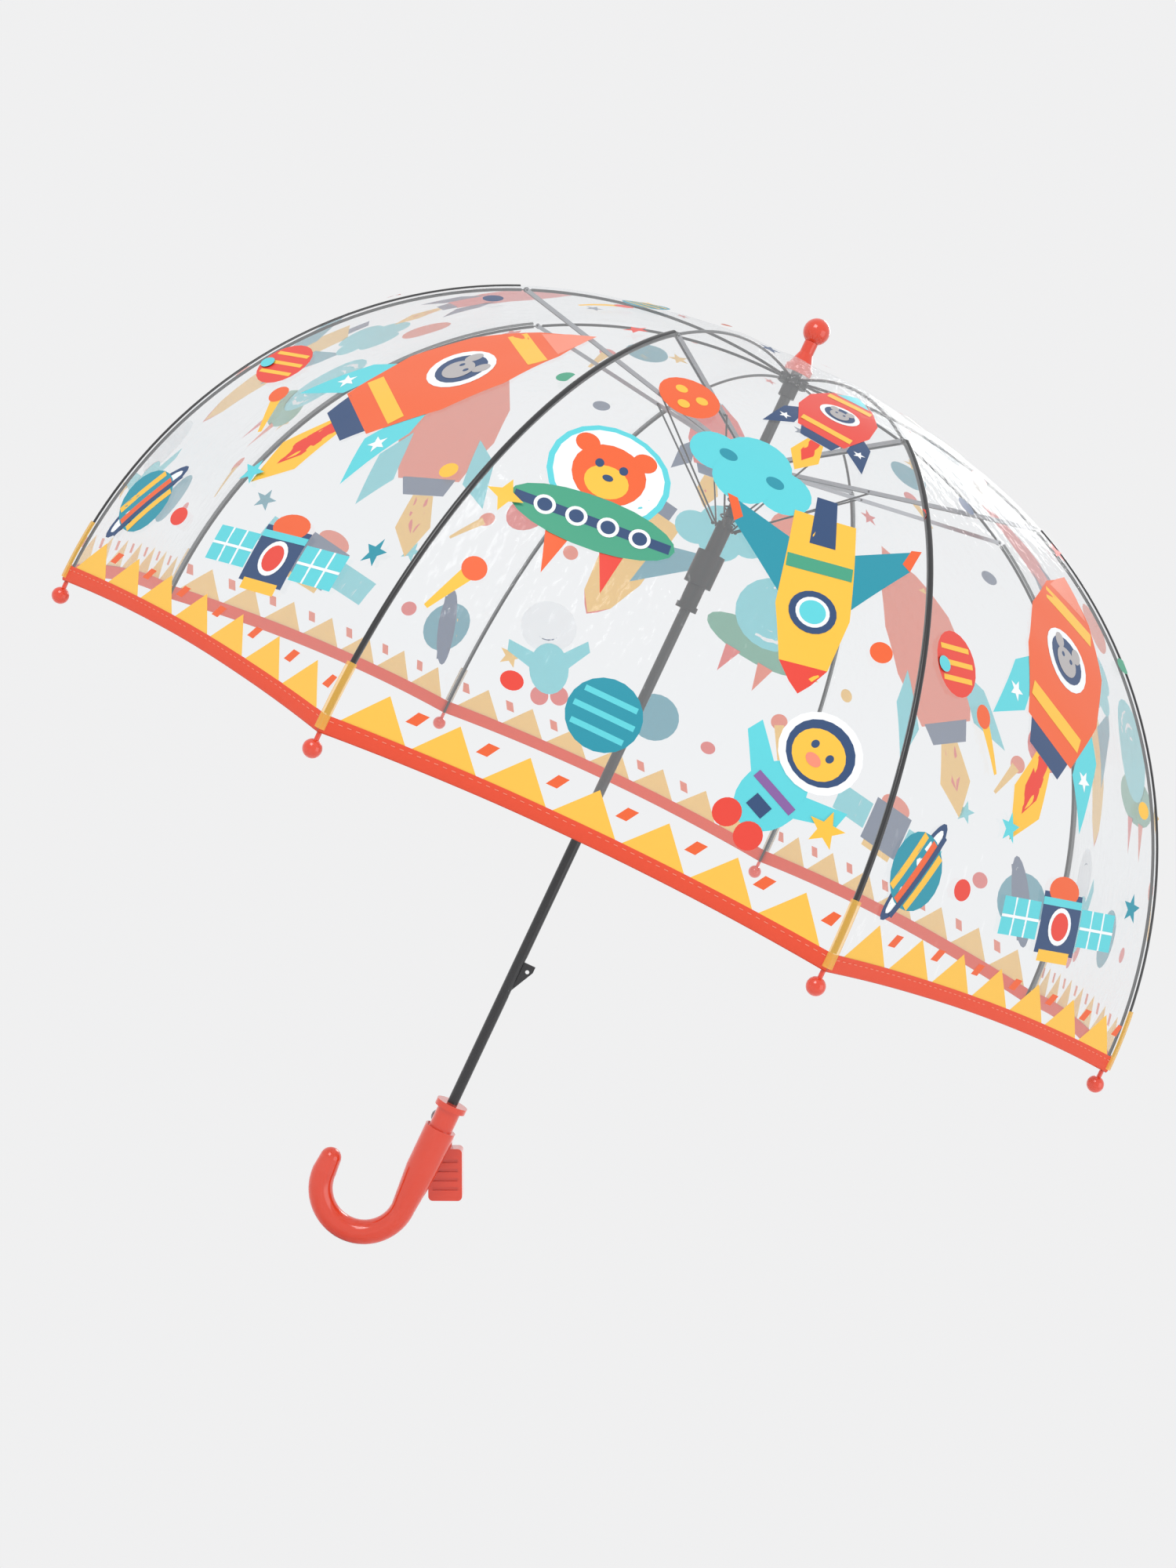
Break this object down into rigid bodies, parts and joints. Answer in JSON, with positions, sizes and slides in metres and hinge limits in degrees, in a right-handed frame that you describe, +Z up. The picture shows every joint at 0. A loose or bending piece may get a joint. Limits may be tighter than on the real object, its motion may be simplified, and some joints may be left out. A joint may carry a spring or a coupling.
{
  "type": "children's umbrella",
  "caption": "Child's clear dome umbrella with printed film panels, folding ribs, sliding runner, spring, catch, J handle and a whistle on a ring.",
  "frame": {"origin": "shaft axis at the handle's top face", "axes": "+Z up the shaft towards the ferrule, hook opens towards -X"},
  "size_m": [0.6696, 0.6696, 0.6609],
  "materials": {
    "clear_film": "clear soft film",
    "red_plastic": "glossy",
    "black_plastic": "satin",
    "black_steel": "satin black paint",
    "grey_steel": "zinc plated",
    "grey_plastic": "satin",
    "spring_steel": "oiled",
    "red_tape": "woven tape"
  },
  "bodies": {
    "root": {"shaft": "black_steel", "catch_pin": "grey_steel", "top_notch": "black_plastic", "notch_wire": "grey_steel", "ferrule": "red_plastic", "handle": "red_plastic", "canopy": "clear_film", "edge_binding": "red_tape"},
    "middle_notch": {"middle_notch": "grey_plastic", "opening_spring": "spring_steel"},
    "runner": {"runner": "black_plastic"},
    "catch": {"catch": "black_steel"},
    "whistle": {"whistle_ring": "grey_steel", "whistle": "red_plastic"},
    "rib_upper_1": {"rib_upper_1": "black_steel"},
    "rib_lower_1": {"rib_lower_1": "black_steel", "tip_1": "red_plastic"},
    "stretcher_1": {"stretcher_1": "grey_steel"},
    "link_1": {"link_1": "black_steel"},
    "rib_upper_2": {"rib_upper_2": "black_steel"},
    "rib_lower_2": {"rib_lower_2": "black_steel", "tip_2": "red_plastic"},
    "stretcher_2": {"stretcher_2": "grey_steel"},
    "link_2": {"link_2": "black_steel"},
    "rib_upper_3": {"rib_upper_3": "black_steel"},
    "rib_lower_3": {"rib_lower_3": "black_steel", "tip_3": "red_plastic"},
    "stretcher_3": {"stretcher_3": "grey_steel"},
    "link_3": {"link_3": "black_steel"},
    "rib_upper_4": {"rib_upper_4": "black_steel"},
    "rib_lower_4": {"rib_lower_4": "black_steel", "tip_4": "red_plastic"},
    "stretcher_4": {"stretcher_4": "grey_steel"},
    "link_4": {"link_4": "black_steel"},
    "rib_upper_5": {"rib_upper_5": "black_steel"},
    "rib_lower_5": {"rib_lower_5": "black_steel", "tip_5": "red_plastic"},
    "stretcher_5": {"stretcher_5": "grey_steel"},
    "link_5": {"link_5": "black_steel"},
    "rib_upper_6": {"rib_upper_6": "black_steel"},
    "rib_lower_6": {"rib_lower_6": "black_steel", "tip_6": "red_plastic"},
    "stretcher_6": {"stretcher_6": "grey_steel"},
    "link_6": {"link_6": "black_steel"},
    "rib_upper_7": {"rib_upper_7": "black_steel"},
    "rib_lower_7": {"rib_lower_7": "black_steel", "tip_7": "red_plastic"},
    "stretcher_7": {"stretcher_7": "grey_steel"},
    "link_7": {"link_7": "black_steel"},
    "rib_upper_8": {"rib_upper_8": "black_steel"},
    "rib_lower_8": {"rib_lower_8": "black_steel", "tip_8": "red_plastic"},
    "stretcher_8": {"stretcher_8": "grey_steel"},
    "link_8": {"link_8": "black_steel"}
  },
  "joints": [
    {"name": "canopy_fold", "type": "hinge", "parent": "root", "child": "rib_upper_1", "pos_m": [0.00739, 0.00306, 0.508], "axis": [-0.3827, 0.9239, 0], "range_deg": [0, 76], "deforming": ["canopy", "edge_binding"]},
    {"name": "stretcher_fold_1", "type": "hinge", "parent": "rib_upper_1", "child": "stretcher_1", "pos_m": [0.16815, 0.06965, 0.479], "axis": [-0.3827, 0.9239, 0], "range_deg": [-153, 1]},
    {"name": "rib_flex_1", "type": "hinge", "parent": "rib_upper_1", "child": "rib_lower_1", "pos_m": [0.16815, 0.06965, 0.479], "axis": [-0.3827, 0.9239, 0], "range_deg": [-50.63, 1]},
    {"name": "link_fold_1", "type": "hinge", "parent": "stretcher_1", "child": "link_1", "pos_m": [0.07169, 0.0297, 0.4616], "axis": [-0.3827, 0.9239, 0], "range_deg": [-1, 29.34]},
    {"name": "rib_fold_2", "type": "hinge", "parent": "root", "child": "rib_upper_2", "pos_m": [0.00306, 0.00739, 0.508], "axis": [-0.9239, 0.3827, 0], "range_deg": [-1, 77]},
    {"name": "stretcher_fold_2", "type": "hinge", "parent": "rib_upper_2", "child": "stretcher_2", "pos_m": [0.06965, 0.16815, 0.479], "axis": [-0.9239, 0.3827, 0], "range_deg": [-153, 1]},
    {"name": "rib_flex_2", "type": "hinge", "parent": "rib_upper_2", "child": "rib_lower_2", "pos_m": [0.06965, 0.16815, 0.479], "axis": [-0.9239, 0.3827, 0], "range_deg": [-50.63, 1]},
    {"name": "link_fold_2", "type": "hinge", "parent": "stretcher_2", "child": "link_2", "pos_m": [0.0297, 0.07169, 0.4616], "axis": [-0.9239, 0.3827, 0], "range_deg": [-1, 29.34]},
    {"name": "rib_fold_3", "type": "hinge", "parent": "root", "child": "rib_upper_3", "pos_m": [-0.00306, 0.00739, 0.508], "axis": [-0.9239, -0.3827, 0], "range_deg": [-1, 77]},
    {"name": "stretcher_fold_3", "type": "hinge", "parent": "rib_upper_3", "child": "stretcher_3", "pos_m": [-0.06965, 0.16815, 0.479], "axis": [-0.9239, -0.3827, 0], "range_deg": [-153, 1]},
    {"name": "rib_flex_3", "type": "hinge", "parent": "rib_upper_3", "child": "rib_lower_3", "pos_m": [-0.06965, 0.16815, 0.479], "axis": [-0.9239, -0.3827, 0], "range_deg": [-50.63, 1]},
    {"name": "link_fold_3", "type": "hinge", "parent": "stretcher_3", "child": "link_3", "pos_m": [-0.0297, 0.07169, 0.4616], "axis": [-0.9239, -0.3827, 0], "range_deg": [-1, 29.34]},
    {"name": "rib_fold_4", "type": "hinge", "parent": "root", "child": "rib_upper_4", "pos_m": [-0.00739, 0.00306, 0.508], "axis": [-0.3827, -0.9239, 0], "range_deg": [-1, 77]},
    {"name": "stretcher_fold_4", "type": "hinge", "parent": "rib_upper_4", "child": "stretcher_4", "pos_m": [-0.16815, 0.06965, 0.479], "axis": [-0.3827, -0.9239, 0], "range_deg": [-153, 1]},
    {"name": "rib_flex_4", "type": "hinge", "parent": "rib_upper_4", "child": "rib_lower_4", "pos_m": [-0.16815, 0.06965, 0.479], "axis": [-0.3827, -0.9239, 0], "range_deg": [-50.63, 1]},
    {"name": "link_fold_4", "type": "hinge", "parent": "stretcher_4", "child": "link_4", "pos_m": [-0.07169, 0.0297, 0.4616], "axis": [-0.3827, -0.9239, 0], "range_deg": [-1, 29.34]},
    {"name": "rib_fold_5", "type": "hinge", "parent": "root", "child": "rib_upper_5", "pos_m": [-0.00739, -0.00306, 0.508], "axis": [0.3827, -0.9239, 0], "range_deg": [-1, 77]},
    {"name": "stretcher_fold_5", "type": "hinge", "parent": "rib_upper_5", "child": "stretcher_5", "pos_m": [-0.16815, -0.06965, 0.479], "axis": [0.3827, -0.9239, 0], "range_deg": [-153, 1]},
    {"name": "rib_flex_5", "type": "hinge", "parent": "rib_upper_5", "child": "rib_lower_5", "pos_m": [-0.16815, -0.06965, 0.479], "axis": [0.3827, -0.9239, 0], "range_deg": [-50.63, 1]},
    {"name": "link_fold_5", "type": "hinge", "parent": "stretcher_5", "child": "link_5", "pos_m": [-0.07169, -0.0297, 0.4616], "axis": [0.3827, -0.9239, 0], "range_deg": [-1, 29.34]},
    {"name": "rib_fold_6", "type": "hinge", "parent": "root", "child": "rib_upper_6", "pos_m": [-0.00306, -0.00739, 0.508], "axis": [0.9239, -0.3827, 0], "range_deg": [-1, 77]},
    {"name": "stretcher_fold_6", "type": "hinge", "parent": "rib_upper_6", "child": "stretcher_6", "pos_m": [-0.06965, -0.16815, 0.479], "axis": [0.9239, -0.3827, 0], "range_deg": [-153, 1]},
    {"name": "rib_flex_6", "type": "hinge", "parent": "rib_upper_6", "child": "rib_lower_6", "pos_m": [-0.06965, -0.16815, 0.479], "axis": [0.9239, -0.3827, 0], "range_deg": [-50.63, 1]},
    {"name": "link_fold_6", "type": "hinge", "parent": "stretcher_6", "child": "link_6", "pos_m": [-0.0297, -0.07169, 0.4616], "axis": [0.9239, -0.3827, 0], "range_deg": [-1, 29.34]},
    {"name": "rib_fold_7", "type": "hinge", "parent": "root", "child": "rib_upper_7", "pos_m": [0.00306, -0.00739, 0.508], "axis": [0.9239, 0.3827, 0], "range_deg": [-1, 77]},
    {"name": "stretcher_fold_7", "type": "hinge", "parent": "rib_upper_7", "child": "stretcher_7", "pos_m": [0.06965, -0.16815, 0.479], "axis": [0.9239, 0.3827, 0], "range_deg": [-153, 1]},
    {"name": "rib_flex_7", "type": "hinge", "parent": "rib_upper_7", "child": "rib_lower_7", "pos_m": [0.06965, -0.16815, 0.479], "axis": [0.9239, 0.3827, 0], "range_deg": [-50.63, 1]},
    {"name": "link_fold_7", "type": "hinge", "parent": "stretcher_7", "child": "link_7", "pos_m": [0.0297, -0.07169, 0.4616], "axis": [0.9239, 0.3827, 0], "range_deg": [-1, 29.34]},
    {"name": "rib_fold_8", "type": "hinge", "parent": "root", "child": "rib_upper_8", "pos_m": [0.00739, -0.00306, 0.508], "axis": [0.3827, 0.9239, 0], "range_deg": [-1, 77]},
    {"name": "stretcher_fold_8", "type": "hinge", "parent": "rib_upper_8", "child": "stretcher_8", "pos_m": [0.16815, -0.06965, 0.479], "axis": [0.3827, 0.9239, 0], "range_deg": [-153, 1]},
    {"name": "rib_flex_8", "type": "hinge", "parent": "rib_upper_8", "child": "rib_lower_8", "pos_m": [0.16815, -0.06965, 0.479], "axis": [0.3827, 0.9239, 0], "range_deg": [-50.63, 1]},
    {"name": "link_fold_8", "type": "hinge", "parent": "stretcher_8", "child": "link_8", "pos_m": [0.07169, -0.0297, 0.4616], "axis": [0.3827, 0.9239, 0], "range_deg": [-1, 29.34]},
    {"name": "notch_level", "type": "hinge", "parent": "stretcher_1", "child": "middle_notch", "pos_m": [0.00739, 0.00306, 0.45], "axis": [-0.3827, 0.9239, 0], "range_deg": [-1, 77]},
    {"name": "runner_slide", "type": "slide", "parent": "middle_notch", "child": "runner", "axis": [0, 0, 1], "range_m": [-0.0005, 0.0255], "deforming": ["opening_spring"]},
    {"name": "catch_press", "type": "hinge", "parent": "root", "child": "catch", "pos_m": [0.0013, 0, 0.0816], "axis": [0, 1, 0], "range_deg": [-8, 0], "stiffness_Nm_per_rad": 0.02},
    {"name": "whistle_swing", "type": "hinge", "parent": "root", "child": "whistle", "pos_m": [-0.006, 0.0145, -0.011], "axis": [0, 1, 0], "range_deg": [-12, 60]}
  ],
  "couplings": [
    {"joint": "stretcher_fold_1", "follows": "canopy_fold", "ratio": -2},
    {"joint": "rib_flex_1", "follows": "canopy_fold", "ratio": -0.65303},
    {"joint": "link_fold_1", "follows": "canopy_fold", "ratio": 0.37288},
    {"joint": "rib_fold_2", "follows": "canopy_fold", "ratio": 1},
    {"joint": "stretcher_fold_2", "follows": "canopy_fold", "ratio": -2},
    {"joint": "rib_flex_2", "follows": "canopy_fold", "ratio": -0.65303},
    {"joint": "link_fold_2", "follows": "canopy_fold", "ratio": 0.37288},
    {"joint": "rib_fold_3", "follows": "canopy_fold", "ratio": 1},
    {"joint": "stretcher_fold_3", "follows": "canopy_fold", "ratio": -2},
    {"joint": "rib_flex_3", "follows": "canopy_fold", "ratio": -0.65303},
    {"joint": "link_fold_3", "follows": "canopy_fold", "ratio": 0.37288},
    {"joint": "rib_fold_4", "follows": "canopy_fold", "ratio": 1},
    {"joint": "stretcher_fold_4", "follows": "canopy_fold", "ratio": -2},
    {"joint": "rib_flex_4", "follows": "canopy_fold", "ratio": -0.65303},
    {"joint": "link_fold_4", "follows": "canopy_fold", "ratio": 0.37288},
    {"joint": "rib_fold_5", "follows": "canopy_fold", "ratio": 1},
    {"joint": "stretcher_fold_5", "follows": "canopy_fold", "ratio": -2},
    {"joint": "rib_flex_5", "follows": "canopy_fold", "ratio": -0.65303},
    {"joint": "link_fold_5", "follows": "canopy_fold", "ratio": 0.37288},
    {"joint": "rib_fold_6", "follows": "canopy_fold", "ratio": 1},
    {"joint": "stretcher_fold_6", "follows": "canopy_fold", "ratio": -2},
    {"joint": "rib_flex_6", "follows": "canopy_fold", "ratio": -0.65303},
    {"joint": "link_fold_6", "follows": "canopy_fold", "ratio": 0.37288},
    {"joint": "rib_fold_7", "follows": "canopy_fold", "ratio": 1},
    {"joint": "stretcher_fold_7", "follows": "canopy_fold", "ratio": -2},
    {"joint": "rib_flex_7", "follows": "canopy_fold", "ratio": -0.65303},
    {"joint": "link_fold_7", "follows": "canopy_fold", "ratio": 0.37288},
    {"joint": "rib_fold_8", "follows": "canopy_fold", "ratio": 1},
    {"joint": "stretcher_fold_8", "follows": "canopy_fold", "ratio": -2},
    {"joint": "rib_flex_8", "follows": "canopy_fold", "ratio": -0.65303},
    {"joint": "link_fold_8", "follows": "canopy_fold", "ratio": 0.37288},
    {"joint": "notch_level", "follows": "canopy_fold", "ratio": 1},
    {"joint": "runner_slide", "follows": "canopy_fold", "m_per_rad": 0.018847}
  ]
}
